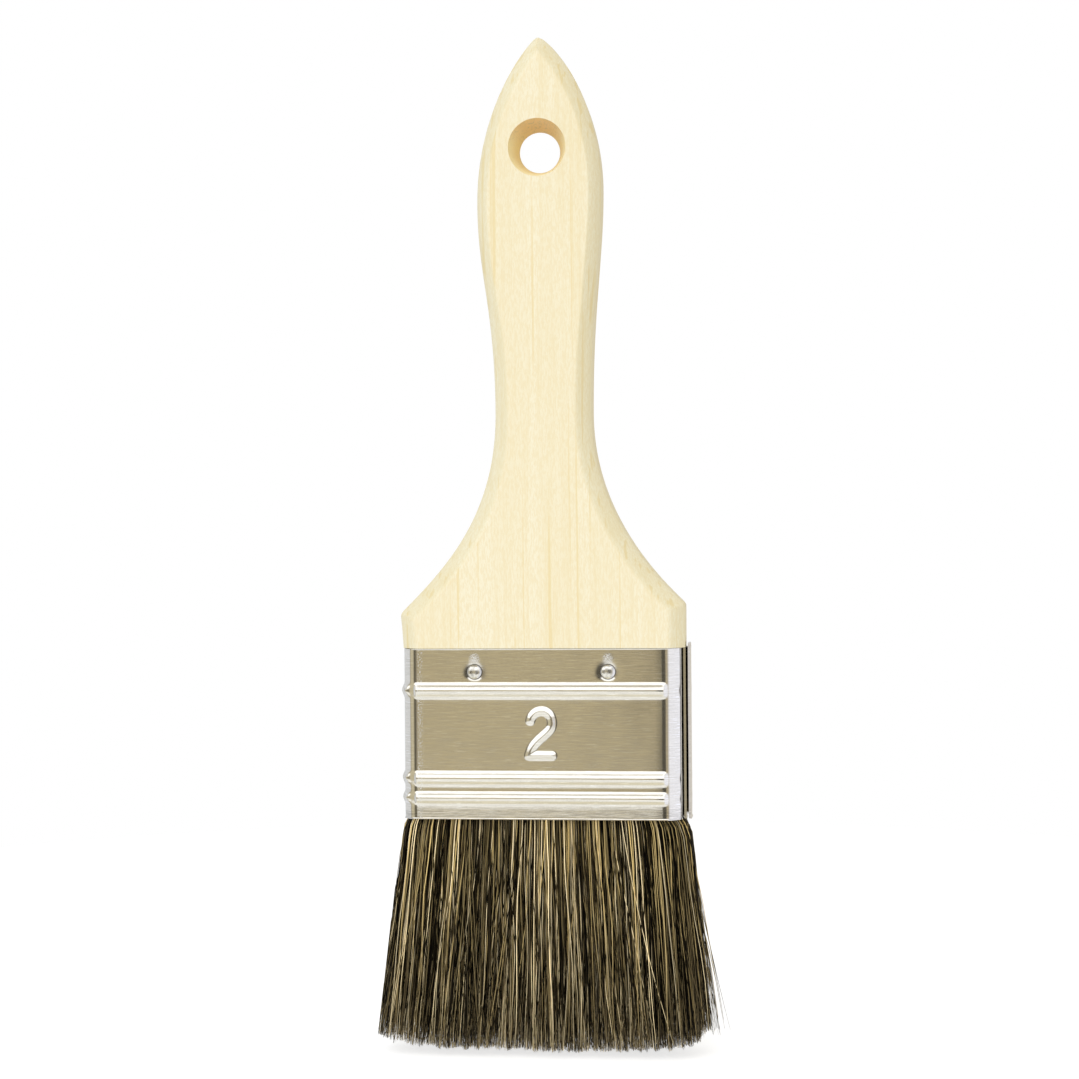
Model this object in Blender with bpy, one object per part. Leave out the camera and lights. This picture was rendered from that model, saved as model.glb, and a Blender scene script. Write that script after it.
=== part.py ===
"""A two-inch flat paint brush, modelled piece by piece.

Metres, +Z up. The brush stands on its bristle tips with the handle up: Z is the height above the
tips, the front looks toward -Y, and +X is to the right of someone who faces the front. The origin
is under the middle of the bristle tips.

The free bristles turn about BRISTLE_AXIS, a line along X just below the mouth of the ferrule.
"""

import math

import bmesh
import bpy
from mathutils import Vector
from mathutils.geometry import interpolate_bezier, intersect_line_line_2d

MM = 0.001
GAP = 0.3 * MM  # clearance between neighbouring pieces

# Heights above the bristle tips
FERRULE_BOTTOM = 41.9 * MM
FERRULE_TOP = 72.1 * MM
HANDLE_TOP = 180.45 * MM

# Handle
HANDLE_THICKNESS = 11.6 * MM
HANDLE_EDGE_RADIUS = 2.5 * MM
TENON_BOTTOM = 60.0 * MM
CURVE_STEPS = 12  # points along each curve of the outline
ROUNDING_STEPS = 3  # facets across a rounded edge

# The handle's two sides, in millimetres from the middle and above the tips. Each is three curves,
# tip to grip, grip to neck and neck to shoulder, and then the shoulder's corner and the base.
# The wood was shaped by eye: the right shoulder sits higher, and the neck leans to the right.
RIGHT_CURVES = (
    ((0.5, 180.39), (5.37, 177.04), (11.16, 166.84), (11.16, 154.04)),
    ((11.16, 154.04), (11.16, 142.19), (9.09, 133.06), (9.09, 113.86)),
    ((9.09, 113.86), (9.09, 97.17), (19.25, 85.85), (24.75, 80.52)),
)
RIGHT_BASE = ((25.45, 79.75), (25.42, 72.5), (25.42, 60.0))
LEFT_CURVES = (
    ((0.5, 180.39), (3.32, 178.13), (11.04, 167.39), (11.04, 151.25)),
    ((11.04, 151.25), (11.04, 138.2), (8.05, 132.87), (8.05, 113.97)),
    ((8.05, 113.97), (8.05, 96.18), (16.9, 86.81), (24.65, 79.1)),
)
LEFT_BASE = ((25.4, 78.3), (24.95, 72.5), (24.95, 60.0))

# Hanging hole, with a rounded mouth on both faces
HOLE_HEIGHT = 160.65 * MM
HOLE_RADIUS = 3.8 * MM
HOLE_MOUTH_ROUNDING = 1.5 * MM
HOLE_SIDES = 28

# Ferrule: one strip of sheet, bent round and hooked into a flat seam on the right
SHEET = 0.4 * MM
FERRULE_HALF_WIDTH = 24.85 * MM
FERRULE_HALF_THICKNESS = 5.2 * MM
FERRULE_CORNER_RADIUS = 2.4 * MM
CORNER_STEPS = 4
SEAM_FRONT = -2.4 * MM  # where the seam's plies end, toward the front
SEAM_BACK = 1.8 * MM  # where the inner ply turns back on itself
SEAM_RISE = 0.9 * MM  # how far the outer ply stands above the ferrule's top edge
BEAD_RISE = 0.45 * MM
BEADS = (  # height of the middle, half width
    (64.7 * MM, 1.6 * MM),
    (49.15 * MM, 1.5 * MM),
    (45.65 * MM, 1.35 * MM),
)

# Nails, two on each face
NAIL_X = 11.9 * MM
NAIL_HEIGHT = 68.0 * MM
NAIL_HEAD_RADIUS = 1.45 * MM
NAIL_HEAD_RISE = 0.55 * MM
NAIL_SHANK_RADIUS = 0.6 * MM
NAIL_LENGTH = 4.2 * MM
NAIL_HEAD_GAP = 0.2 * MM
NAIL_SIDES = 20

# Bristles, plug and resin
PACKED_HALF_WIDTH = FERRULE_HALF_WIDTH - SHEET - GAP
PACKED_HALF_THICKNESS = FERRULE_HALF_THICKNESS - SHEET - GAP
PACKED_CORNER_RADIUS = 2.0 * MM
PLUG_HALF_THICKNESS = 1.0 * MM
PLUG_HALF_WIDTH = 22.5 * MM
BUTTS_TOP = 55.0 * MM
MOUTH_HALF_WIDTH = 25.2 * MM
TIP_HALF_WIDTH = 30.8 * MM
TIP_HALF_THICKNESS = 7.0 * MM
SPREAD_POWER = 1.2  # the bristles spread a little faster just below the mouth
TIP_GAP = 0.15 * MM  # half of the gap between the two rows at their tips
TIP_FLAT = 0.33  # share of the width over which the tips are cut straight
TIP_CORNER_RISE = 4.3 * MM  # how much higher the tips end at the two edges
BRISTLE_AXIS = Vector((0.0, 0.0, FERRULE_BOTTOM - PACKED_HALF_THICKNESS))

# Colours: base colour, metallic, roughness
PALE_WOOD = ((0.87, 0.74, 0.48), 0.0, 0.5)
PLUG_WOOD = ((0.62, 0.45, 0.25), 0.0, 0.7)
TINPLATE = ((0.62, 0.58, 0.48), 1.0, 0.3)
NAIL_STEEL = ((0.75, 0.73, 0.68), 1.0, 0.25)
RESIN = ((0.35, 0.20, 0.08), 0.0, 0.25)
BRISTLE_BROWN = ((0.075, 0.055, 0.032), 0.0, 0.55)
BUTT_BROWN = ((0.10, 0.07, 0.035), 0.0, 0.7)


def clear_scene():
    """Remove every object that is in the file."""
    for item in list(bpy.data.objects):
        bpy.data.objects.remove(item, do_unlink=True)


def make_material(name, finish):
    """A Principled material from a (colour, metallic, roughness) finish."""
    colour, metallic, roughness = finish
    material = bpy.data.materials.new(name)
    material.use_nodes = True
    shader = material.node_tree.nodes["Principled BSDF"]
    shader.inputs["Base Color"].default_value = (*colour, 1.0)
    shader.inputs["Metallic"].default_value = metallic
    shader.inputs["Roughness"].default_value = roughness
    return material


def make_object(name, mesh_builder, finish, parent=None):
    """Turn a bmesh, built in world coordinates, into a named object under its parent."""
    bmesh.ops.recalc_face_normals(mesh_builder, faces=mesh_builder.faces[:])
    mesh = bpy.data.meshes.new(name)
    mesh_builder.to_mesh(mesh)
    mesh_builder.free()
    mesh.shade_smooth()
    mesh.set_sharp_from_angle(angle=math.radians(40))
    item = bpy.data.objects.new(name, mesh)
    item.data.materials.append(make_material(name, finish))
    bpy.context.collection.objects.link(item)
    if parent is not None:
        item.parent = parent
        mesh.transform(parent.matrix_world.inverted())
    return item


def add_cutter(name, mesh_builder, targets):
    """Make a hidden cutting body and subtract it from each target."""
    cutter = make_object(name, mesh_builder, RESIN)
    cutter.hide_render = True
    cutter.display_type = "WIRE"
    for target in targets:
        boolean = target.modifiers.new(name, "BOOLEAN")
        boolean.operation = "DIFFERENCE"
        boolean.object = cutter


def skin_rings(mesh_builder, rings, capped=True):
    """Join closed rings of points with faces, cap both ends, and return the rings' vertices."""
    loops = [[mesh_builder.verts.new(point) for point in ring] for ring in rings]
    count = len(loops[0])
    for lower, upper in zip(loops, loops[1:]):
        for i in range(count):
            j = (i + 1) % count
            mesh_builder.faces.new((lower[i], lower[j], upper[j], upper[i]))
    if capped:
        mesh_builder.faces.new(reversed(loops[0]))
        mesh_builder.faces.new(loops[-1])
    return loops


def quarter_turn(steps):
    """Angles from 0 to 90 degrees in equal steps, both ends included."""
    return [math.pi / 2 * i / steps for i in range(steps + 1)]


def turned_body(mesh_builder, centre, profile, sides, facing=1.0):
    """A body turned about a line along Y through centre, from (radius, distance) points."""
    rings = []
    for radius, distance in profile:
        ring = []
        for i in range(sides):
            angle = 2 * math.pi * i / sides
            offset = Vector((radius * math.cos(angle), facing * distance, radius * math.sin(angle)))
            ring.append(centre + offset)
        rings.append(ring)
    skin_rings(mesh_builder, rings)


def handle_side(curves, base):
    """(distance from the middle, height) points down one side, from the tip to below the base."""
    points = [(0.0, HANDLE_TOP)]
    for knots in curves:
        corners = [Vector((x * MM, z * MM, 0.0)) for x, z in knots]
        curve = interpolate_bezier(*corners, CURVE_STEPS)
        points += [(p.x, p.y) for p in curve if (p.x, p.y) != points[-1]]
    points += [(x * MM, z * MM) for x, z in base]
    return points


def without_loops(side):
    """Where a side crosses itself, pull the points of the loop together at the crossing."""
    points = [Vector(point) for point in side]
    first = 0
    while first < len(points) - 3:
        for last in range(len(points) - 2, first + 1, -1):
            crossing = intersect_line_line_2d(
                points[first], points[first + 1], points[last], points[last + 1]
            )
            if crossing is not None:
                points[first + 1 : last + 1] = [crossing] * (last - first)
                first = last
                break
        first += 1
    return [(point.x, point.y) for point in points]


def inset_side(side, distance):
    """Move a side inward by a distance. Points that would cross the middle meet on it."""
    if distance == 0.0:
        return list(side)
    moved = [(0.0, side[0][1] - distance)]
    for i in range(1, len(side)):
        before = side[i - 1]
        after = side[min(i + 1, len(side) - 1)]
        along = Vector((after[0] - before[0], after[1] - before[1]))
        along.normalize()
        moved.append((side[i][0] + along.y * distance, side[i][1] - along.x * distance))
    first_clear = next(i for i, point in enumerate(moved) if point[0] > 0.01 * MM)
    clear = without_loops(moved[first_clear:])
    if first_clear == 1:
        return moved[:1] + clear
    inner, outer = moved[first_clear - 1], clear[0]
    share = inner[0] / (inner[0] - outer[0])
    crossing = inner[1] + share * (outer[1] - inner[1])
    return [(0.0, crossing)] * first_clear + clear


def build_handle():
    """The wooden handle: a rounded slab, and the tenon that the ferrule is nailed to."""
    right_side = handle_side(RIGHT_CURVES, RIGHT_BASE)
    left_side = handle_side(LEFT_CURVES, LEFT_BASE)
    count = len(right_side)
    half_flat = HANDLE_THICKNESS / 2 - HANDLE_EDGE_RADIUS
    levels = []
    for angle in quarter_turn(ROUNDING_STEPS):
        inset = HANDLE_EDGE_RADIUS * (1 - math.cos(angle))
        levels.append((inset, half_flat + HANDLE_EDGE_RADIUS * math.sin(angle)))
    sections = [(inset, y) for inset, y in reversed(levels)]
    sections += [(inset, -y) for inset, y in levels]
    rings = []
    for inset, y in sections:
        right = inset_side(right_side, inset)
        left = inset_side(left_side, inset)
        ring = [(0.0, y, max(right[0][1], left[0][1]))]
        ring += [(x, y, z) for x, z in right[1:]]
        ring += [(-x, y, z) for x, z in reversed(left[1:])]
        rings.append(ring)

    body = bmesh.new()
    loops = skin_rings(body, rings, capped=False)
    for loop in (loops[0], loops[-1]):
        right = loop[:count]
        left = loop[:1] + loop[: count - 1 : -1]
        body.faces.new((right[0], right[1], left[1]))
        for i in range(1, count - 1):
            body.faces.new((right[i], right[i + 1], left[i + 1], left[i]))
    bmesh.ops.remove_doubles(body, verts=body.verts[:], dist=0.001 * MM)

    # Cut the base off square, then step it in and carry it down as the tenon.
    base_height = FERRULE_TOP + GAP
    everything = body.verts[:] + body.edges[:] + body.faces[:]
    cut = bmesh.ops.bisect_plane(
        body, geom=everything, plane_co=(0, 0, base_height), plane_no=(0, 0, 1), clear_inner=True
    )
    rim = [part for part in cut["geom_cut"] if isinstance(part, bmesh.types.BMEdge)]
    base = bmesh.ops.edgeloop_fill(body, edges=rim)["faces"]
    rebate = HANDLE_THICKNESS / 2 - PACKED_HALF_THICKNESS
    bmesh.ops.inset_region(body, faces=base, thickness=rebate, use_even_offset=True)
    tenon = bmesh.ops.extrude_face_region(body, geom=base)
    bmesh.ops.delete(body, geom=base, context="FACES_ONLY")
    moved = [part for part in tenon["geom"] if isinstance(part, bmesh.types.BMVert)]
    bmesh.ops.translate(body, verts=moved, vec=(0, 0, TENON_BOTTOM - base_height))
    return make_object("handle", body, PALE_WOOD)


def build_hanging_hole_cutter(handle):
    """The hanging hole, narrow in the middle and rounded out to both faces."""
    face = HANDLE_THICKNESS / 2
    flare = []
    for angle in quarter_turn(ROUNDING_STEPS + 1):
        radius = HOLE_RADIUS + HOLE_MOUTH_ROUNDING * (1 - math.cos(angle))
        flare.append((radius, face - HOLE_MOUTH_ROUNDING * (1 - math.sin(angle))))
    flare.append((HOLE_RADIUS + HOLE_MOUTH_ROUNDING, face + MM))
    profile = [(radius, -y) for radius, y in reversed(flare)] + flare
    cutter = bmesh.new()
    turned_body(cutter, Vector((0, 0, HOLE_HEIGHT)), profile, HOLE_SIDES)
    add_cutter("hanging_hole_cutter", cutter, [handle])


def nail_places():
    """Name, x and facing (-1 front, +1 back) of each nail."""
    for face_name, facing in (("front", -1.0), ("back", 1.0)):
        for side_name, x in (("left", -NAIL_X), ("right", NAIL_X)):
            yield f"nail_{face_name}_{side_name}", x, facing


def build_nail_hole_cutter(targets):
    """The nails' clearance holes through the ferrule and into the tenon."""
    cutter = bmesh.new()
    radius = NAIL_SHANK_RADIUS + GAP
    outer = FERRULE_HALF_THICKNESS + MM
    inner = FERRULE_HALF_THICKNESS - NAIL_LENGTH
    for _, x, facing in nail_places():
        centre = Vector((x, 0, NAIL_HEIGHT))
        turned_body(cutter, centre, ((radius, inner), (radius, outer)), NAIL_SIDES, facing)
    add_cutter("nail_hole_cutter", cutter, targets)


def build_nails():
    """Four nails with low domed heads."""
    under_head = FERRULE_HALF_THICKNESS + NAIL_HEAD_GAP
    point = FERRULE_HALF_THICKNESS - NAIL_LENGTH + GAP
    profile = [(0.1 * MM, point), (NAIL_SHANK_RADIUS, point + 1.2 * MM)]
    profile += [(NAIL_SHANK_RADIUS, under_head), (NAIL_HEAD_RADIUS, under_head)]
    for angle in quarter_turn(ROUNDING_STEPS):
        radius = NAIL_HEAD_RADIUS * math.cos(0.85 * angle)
        profile.append((radius, under_head + 0.2 * MM + (NAIL_HEAD_RISE - 0.2 * MM) * math.sin(angle)))
    for name, x, facing in nail_places():
        nail = bmesh.new()
        turned_body(nail, Vector((x, 0, NAIL_HEIGHT)), profile, NAIL_SIDES, facing)
        make_object(name, nail, NAIL_STEEL)


def strip_path():
    """The ferrule strip seen from above, as (middle point, sideways, bead share, bead way, rise).

    The strip starts in the seam on the right, at the front end of its middle ply. It turns back
    on itself, runs forward as the inner ply, once round the brush by the front, the left and the
    back, and ends in front of where it started, as the outer ply.
    """
    half = SHEET / 2
    inner_x = FERRULE_HALF_WIDTH - half
    middle_x = inner_x + SHEET + GAP
    outer_x = middle_x + SHEET + GAP
    wall_y = FERRULE_HALF_THICKNESS - half
    bend = FERRULE_CORNER_RADIUS - half
    turn_radius = (middle_x - inner_x) / 2
    right = Vector((1.0, 0.0))
    path = [(Vector((middle_x, SEAM_FRONT)), -right, 0.0, right, 0.0)]

    for i in range(CORNER_STEPS + 1):
        angle = math.pi * i / CORNER_STEPS
        sideways = Vector((math.cos(angle), math.sin(angle)))
        centre = Vector(((middle_x + inner_x) / 2, SEAM_BACK))
        path.append((centre + sideways * turn_radius, -sideways, 0.0, right, 0.0))

    corners = (  # centre, first outward angle in degrees, bead share at its start and end
        (Vector((inner_x - bend, -wall_y + bend)), 0, (0.0, 1.0)),
        (Vector((-inner_x + bend, -wall_y + bend)), -90, (1.0, 1.0)),
        (Vector((-inner_x + bend, wall_y - bend)), -180, (1.0, 1.0)),
        (Vector((outer_x - bend, wall_y - bend)), -270, (1.0, 0.0)),
    )
    for centre, first_angle, (share_start, share_end) in corners:
        for i in range(CORNER_STEPS + 1):
            angle = math.radians(first_angle - 90 * i / CORNER_STEPS)
            outward = Vector((math.cos(angle), math.sin(angle)))
            share = share_start + (share_end - share_start) * i / CORNER_STEPS
            path.append((centre + outward * bend, outward, share, outward, 0.0))

    path.append((Vector((outer_x, 0.0)), right, 0.0, right, SEAM_RISE))
    path.append((Vector((outer_x, SEAM_FRONT)), right, 0.0, right, SEAM_RISE))
    return path


def bead_rise(height):
    """How far the sheet stands out at this height."""
    for middle, half_width in BEADS:
        distance = abs(height - middle) / half_width
        if distance < 1.0:
            return BEAD_RISE * (0.5 + 0.5 * math.cos(math.pi * distance))
    return 0.0


def ferrule_heights():
    """The heights at which the ferrule's section is drawn: both ends and across each bead."""
    heights = [FERRULE_BOTTOM, FERRULE_TOP]
    for middle, half_width in BEADS:
        heights += [middle + half_width * share for share in (-1.0, -0.5, 0.0, 0.5, 1.0)]
    return sorted(heights)


def build_ferrule():
    """The bent steel strip, with its beads and its hooked seam."""
    path = strip_path()
    rings = []
    for height in ferrule_heights():
        outer_side = []
        inner_side = []
        for middle, sideways, bead_share, bead_way, rise in path:
            shifted = middle + bead_way * bead_share * bead_rise(height)
            top_rise = rise if height == FERRULE_TOP else 0.0
            outer = shifted + sideways * SHEET / 2
            inner = shifted - sideways * SHEET / 2
            outer_side.append((outer.x, outer.y, height + top_rise))
            inner_side.append((inner.x, inner.y, height + top_rise))
        rings.append(outer_side + inner_side[::-1])
    strip = bmesh.new()
    skin_rings(strip, rings)
    return make_object("ferrule", strip, TINPLATE)


def rounded_corner(centre_x, centre_y, radius, first_angle):
    """Points of a quarter circle, going anticlockwise from the first angle in degrees."""
    start = math.radians(first_angle)
    return [
        (centre_x + radius * math.cos(start + a), centre_y + radius * math.sin(start + a))
        for a in quarter_turn(CORNER_STEPS)
    ]


def build_upright(name, outline, bottom, top, finish):
    """A block with an outline drawn in plan and straight upright sides."""
    block = bmesh.new()
    skin_rings(block, [[(x, y, z) for x, y in outline] for z in (bottom, top)])
    return make_object(name, block, finish)


def build_packed_pieces():
    """What the ferrule holds under the tenon: bristle butts, the plug between them, and resin."""
    corner_x = PACKED_HALF_WIDTH - PACKED_CORNER_RADIUS
    corner_y = PACKED_HALF_THICKNESS - PACKED_CORNER_RADIUS
    full_outline = (
        rounded_corner(corner_x, corner_y, PACKED_CORNER_RADIUS, 0)
        + rounded_corner(-corner_x, corner_y, PACKED_CORNER_RADIUS, 90)
        + rounded_corner(-corner_x, -corner_y, PACKED_CORNER_RADIUS, 180)
        + rounded_corner(corner_x, -corner_y, PACKED_CORNER_RADIUS, 270)
    )
    build_upright("epoxy_set", full_outline, BUTTS_TOP + GAP, TENON_BOTTOM - GAP, RESIN)

    inner_y = PLUG_HALF_THICKNESS + GAP
    back_outline = (
        rounded_corner(corner_x, corner_y, PACKED_CORNER_RADIUS, 0)
        + rounded_corner(-corner_x, corner_y, PACKED_CORNER_RADIUS, 90)
        + [(-PACKED_HALF_WIDTH, inner_y), (PACKED_HALF_WIDTH, inner_y)]
    )
    front_outline = [(x, -y) for x, y in back_outline]
    butts_bottom = FERRULE_BOTTOM + GAP
    build_upright("bristle_butts_front", front_outline, butts_bottom, BUTTS_TOP, BUTT_BROWN)
    build_upright("bristle_butts_back", back_outline, butts_bottom, BUTTS_TOP, BUTT_BROWN)

    plug_outline = [
        (x, y)
        for x, y in (
            (-PLUG_HALF_WIDTH, -PLUG_HALF_THICKNESS),
            (PLUG_HALF_WIDTH, -PLUG_HALF_THICKNESS),
            (PLUG_HALF_WIDTH, PLUG_HALF_THICKNESS),
            (-PLUG_HALF_WIDTH, PLUG_HALF_THICKNESS),
        )
    ]
    build_upright("spacer_plug", plug_outline, butts_bottom, BUTTS_TOP, PLUG_WOOD)


def tip_rise(across):
    """How much higher the tips end at this share of the half width."""
    beyond = max(0.0, abs(across) - TIP_FLAT) / (1.0 - TIP_FLAT)
    return TIP_CORNER_RISE * beyond**2.5


def spread(root_size, tip_size, height, root_height):
    """A size that grows from the root to the tips, fastest just below the root."""
    return root_size + (tip_size - root_size) * (1.0 - (height / root_height) ** SPREAD_POWER)


def row_levels():
    """(height, half width, inner distance, outer distance from the middle) from tips to root.

    The root is part of a round bar about BRISTLE_AXIS, so it turns inside its own outline and
    stays clear of the ferrule's mouth.
    """
    axis_height = BRISTLE_AXIS.z
    inner_root = PLUG_HALF_THICKNESS + GAP
    levels = []
    for share in (0.0, 0.2, 0.4, 0.6, 0.8, 1.0):
        height = axis_height * share
        half_width = spread(MOUTH_HALF_WIDTH, TIP_HALF_WIDTH, height, FERRULE_BOTTOM)
        inner = TIP_GAP + (inner_root - TIP_GAP) * share
        outer = spread(PACKED_HALF_THICKNESS, TIP_HALF_THICKNESS, height, axis_height)
        levels.append((height, half_width, inner, outer))
    for degrees in (20, 40, 60):
        angle = math.radians(degrees)
        height = axis_height + PACKED_HALF_THICKNESS * math.sin(angle)
        half_width = spread(MOUTH_HALF_WIDTH, TIP_HALF_WIDTH, height, FERRULE_BOTTOM)
        levels.append((height, half_width, inner_root, PACKED_HALF_THICKNESS * math.cos(angle)))
    return levels


def build_bristle_row(name, facing, parent):
    """The free length of one half of the bristles, as a closed tapered body."""
    stations = [-1.0, -0.985, -0.955, -0.9, -0.78, -0.6, -TIP_FLAT, 0.0]
    stations += [-share for share in reversed(stations[:-1])]
    corner_share = 0.06  # share of the half width that the rounded corner takes up
    rings = []
    for height, half_width, inner, outer in row_levels():
        outer_side = []
        inner_side = []
        fade = 1.0 - height / BRISTLE_AXIS.z if height < BRISTLE_AXIS.z else 0.0
        for across in stations:
            into_corner = max(0.0, abs(across) - (1.0 - corner_share)) / corner_share
            fullness = 0.4 + 0.6 * math.sqrt(max(0.0, 1.0 - into_corner**2))
            x = across * half_width
            z = height + tip_rise(across) * fade
            outer_side.append((x, facing * (inner + (outer - inner) * fullness), z))
            inner_side.append((x, facing * inner, z))
        rings.append((outer_side, inner_side))

    row = bmesh.new()
    count = len(stations)
    loops = skin_rings(row, [outer + inner[::-1] for outer, inner in rings], capped=False)
    for loop in (loops[0], loops[-1]):
        for i in range(count - 1):
            row.faces.new((loop[i], loop[i + 1], loop[2 * count - 2 - i], loop[2 * count - 1 - i]))
    return make_object(name, row, BRISTLE_BROWN, parent)


def build_bristles():
    """Both rows hang from one empty on the line that they bend about."""
    pivot = bpy.data.objects.new("bristle_flex_axis", None)
    pivot.location = BRISTLE_AXIS
    bpy.context.collection.objects.link(pivot)
    bpy.context.view_layer.update()
    build_bristle_row("bristle_row_front", -1.0, pivot)
    build_bristle_row("bristle_row_back", 1.0, pivot)


def main():
    clear_scene()
    handle = build_handle()
    ferrule = build_ferrule()
    build_hanging_hole_cutter(handle)
    build_nail_hole_cutter([handle, ferrule])
    build_nails()
    build_packed_pieces()
    build_bristles()


main()
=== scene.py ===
"""The looks of a two-inch flat paint brush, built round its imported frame.

Metres, in the frame's own axes: +Z up along the brush, the front toward -Y, bristle tips at z = 0.
The handle, the ferrule and the nails get fine surfaces in place of the frame's plain ones, and the
bristles are modelled hair by hair.
"""

import math

import bmesh
import bpy
import numpy as np
from mathutils import Matrix, Vector
from mathutils.geometry import interpolate_bezier, intersect_line_line_2d


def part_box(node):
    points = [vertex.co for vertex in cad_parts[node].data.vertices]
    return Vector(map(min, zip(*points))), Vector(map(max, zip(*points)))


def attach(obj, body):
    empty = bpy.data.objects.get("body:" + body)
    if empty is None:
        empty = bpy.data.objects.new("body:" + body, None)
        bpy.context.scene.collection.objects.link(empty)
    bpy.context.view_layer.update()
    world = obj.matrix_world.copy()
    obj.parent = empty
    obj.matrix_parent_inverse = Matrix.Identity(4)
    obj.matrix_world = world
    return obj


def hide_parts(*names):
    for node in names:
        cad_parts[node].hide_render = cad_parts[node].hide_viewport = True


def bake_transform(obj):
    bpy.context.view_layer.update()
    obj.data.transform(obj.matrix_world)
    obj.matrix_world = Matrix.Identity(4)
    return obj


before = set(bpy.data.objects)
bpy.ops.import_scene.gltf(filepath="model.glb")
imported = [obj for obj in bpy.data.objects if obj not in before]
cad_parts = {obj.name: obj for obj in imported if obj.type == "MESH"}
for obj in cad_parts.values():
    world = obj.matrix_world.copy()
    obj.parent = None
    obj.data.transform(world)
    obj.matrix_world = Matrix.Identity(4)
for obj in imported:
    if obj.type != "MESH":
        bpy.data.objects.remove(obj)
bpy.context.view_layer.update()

MM = 0.001
ROOT_BODY = "brush_body"
SEED = 2026

# Sizes read from the frame
handle_low, handle_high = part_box("handle")
ferrule_low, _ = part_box("ferrule")
epoxy_low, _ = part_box("epoxy_set")
row_low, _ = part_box("bristle_row_front")

TIP_TOP = handle_high.z + 0.22 * MM  # height of the handle's point
HANDLE_THICKNESS = handle_high.y - handle_low.y
MOUTH = ferrule_low.z  # height of the ferrule's bottom edge

# Sizes that the frame doesn't state, as the brush was designed
FERRULE_TOP = 72.1 * MM
SHEET = 0.4 * MM
INNER_PLY_GAP = 0.16 * MM
OUTER_PLY_GAP = 0.44 * MM
FERRULE_HALF_WIDTH = 24.85 * MM
FERRULE_HALF_THICKNESS = 5.2 * MM
FERRULE_CORNER_RADIUS = 2.8 * MM
FRONT_RIGHT_RADIUS = 3.6 * MM  # the corner in front of the seam is bent wider
BASE_HEIGHT = 72.4 * MM
EDGE_RADIUS = 3.1 * MM
EDGE_FULLNESS = 1.35  # 2 makes the edges' rounding a circle, and less makes it more of a bevel
EDGE_HEIGHTS = (0.097, 0.112, 0.124, 0.133, 0.150, 0.162, 0.174)
EDGE_SHARES = (1.0, 0.92, 0.86, 0.74, 0.72, 0.80, 0.92)  # the rounding's width at those heights
HOLE_HEIGHT = 160.65 * MM
HOLE_RADIUS = 3.62 * MM  # halfway through the handle
HOLE_MOUTH_RADIUS = 5.12 * MM
NAIL_X = 11.85 * MM
NAIL_HEIGHT = 68.05 * MM


# ---------------- node helpers


def set_inputs(tree, node, inputs):
    """Set or link a node's inputs, by name or by number."""
    for name, value in inputs.items():
        if isinstance(value, bpy.types.NodeSocket):
            tree.links.new(value, node.inputs[name])
        else:
            node.inputs[name].default_value = value


def add_node(tree, kind, inputs=None, **settings):
    """Add a node, set its properties, and set or link its inputs."""
    node = tree.nodes.new(kind)
    for name, value in settings.items():
        setattr(node, name, value)
    set_inputs(tree, node, inputs or {})
    return node


def maths(tree, operation, first, second=0.0):
    """A Math node's result."""
    return add_node(tree, "ShaderNodeMath", {0: first, 1: second}, operation=operation).outputs[0]


def length(tree, first, second):
    """The length of a vector whose two parts are given."""
    squares = [maths(tree, "MULTIPLY", part, part) for part in (first, second)]
    return maths(tree, "SQRT", maths(tree, "ADD", *squares))


def split(tree, vector):
    """A vector's X, Y and Z."""
    return add_node(tree, "ShaderNodeSeparateXYZ", {0: vector}).outputs


def remap(tree, value, low, high, new_low=0.0, new_high=1.0):
    """A value moved smoothly from one range to another."""
    inputs = {"Value": value, "From Min": low, "From Max": high, "To Min": new_low, "To Max": new_high}
    node = add_node(tree, "ShaderNodeMapRange", inputs, interpolation_type="SMOOTHSTEP")
    return node.outputs["Result"]


def opaque(colour):
    """A colour as a node's input takes it."""
    return colour if isinstance(colour, bpy.types.NodeSocket) else (*colour, 1.0)


def blend_colours(tree, share, first, second, mode="MIX"):
    """Two colours mixed by a share."""
    node = add_node(tree, "ShaderNodeMix", data_type="RGBA", blend_type=mode, clamp_factor=True)
    set_inputs(tree, node, {"Factor": share, 6: opaque(first), 7: opaque(second)})
    return node.outputs[2]


def layer(tree, base, colour, mask, share):
    """A colour laid over a base where the mask is 1, at a share of its strength."""
    return blend_colours(tree, maths(tree, "MULTIPLY", mask, share), base, colour)


def noise(tree, vector, stretch, detail, roughness):
    """Fractal noise whose grain is stretched by a different scale along each axis."""
    place = add_node(tree, "ShaderNodeMapping", {"Vector": vector, "Scale": stretch}).outputs[0]
    inputs = {"Vector": place, "Scale": 1.0, "Detail": detail, "Roughness": roughness}
    return add_node(tree, "ShaderNodeTexNoise", inputs).outputs["Fac"]


def start_material(name):
    """A new material, its node tree and its Principled shader."""
    material = bpy.data.materials.new(name)
    material.use_nodes = True
    return material, material.node_tree, material.node_tree.nodes["Principled BSDF"]


def add_bump(tree, shader, height, distance, strength):
    """Feed a height into the shader's normal."""
    inputs = {"Height": height, "Distance": distance, "Strength": strength}
    set_inputs(tree, shader, {"Normal": add_node(tree, "ShaderNodeBump", inputs).outputs[0]})


def scaled(colour, *factors):
    """A colour times one factor, or times one factor for each channel, and at most white."""
    return [min(1.0, channel * factor) for channel, factor in zip(colour, factors * 3)]


def lay_marks(tree, place, colour, marks):
    """Lay marks over a colour. Returns the new colour, and each mark's noise under its name."""
    fields = {}
    for name, stretch, detail, roughness, start, full, share, mark_colour in marks:
        fields[name] = noise(tree, place, stretch, detail, roughness)
        colour = layer(tree, colour, mark_colour, remap(tree, fields[name], start, full), share)
    return colour, fields


# ---------------- materials

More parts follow.
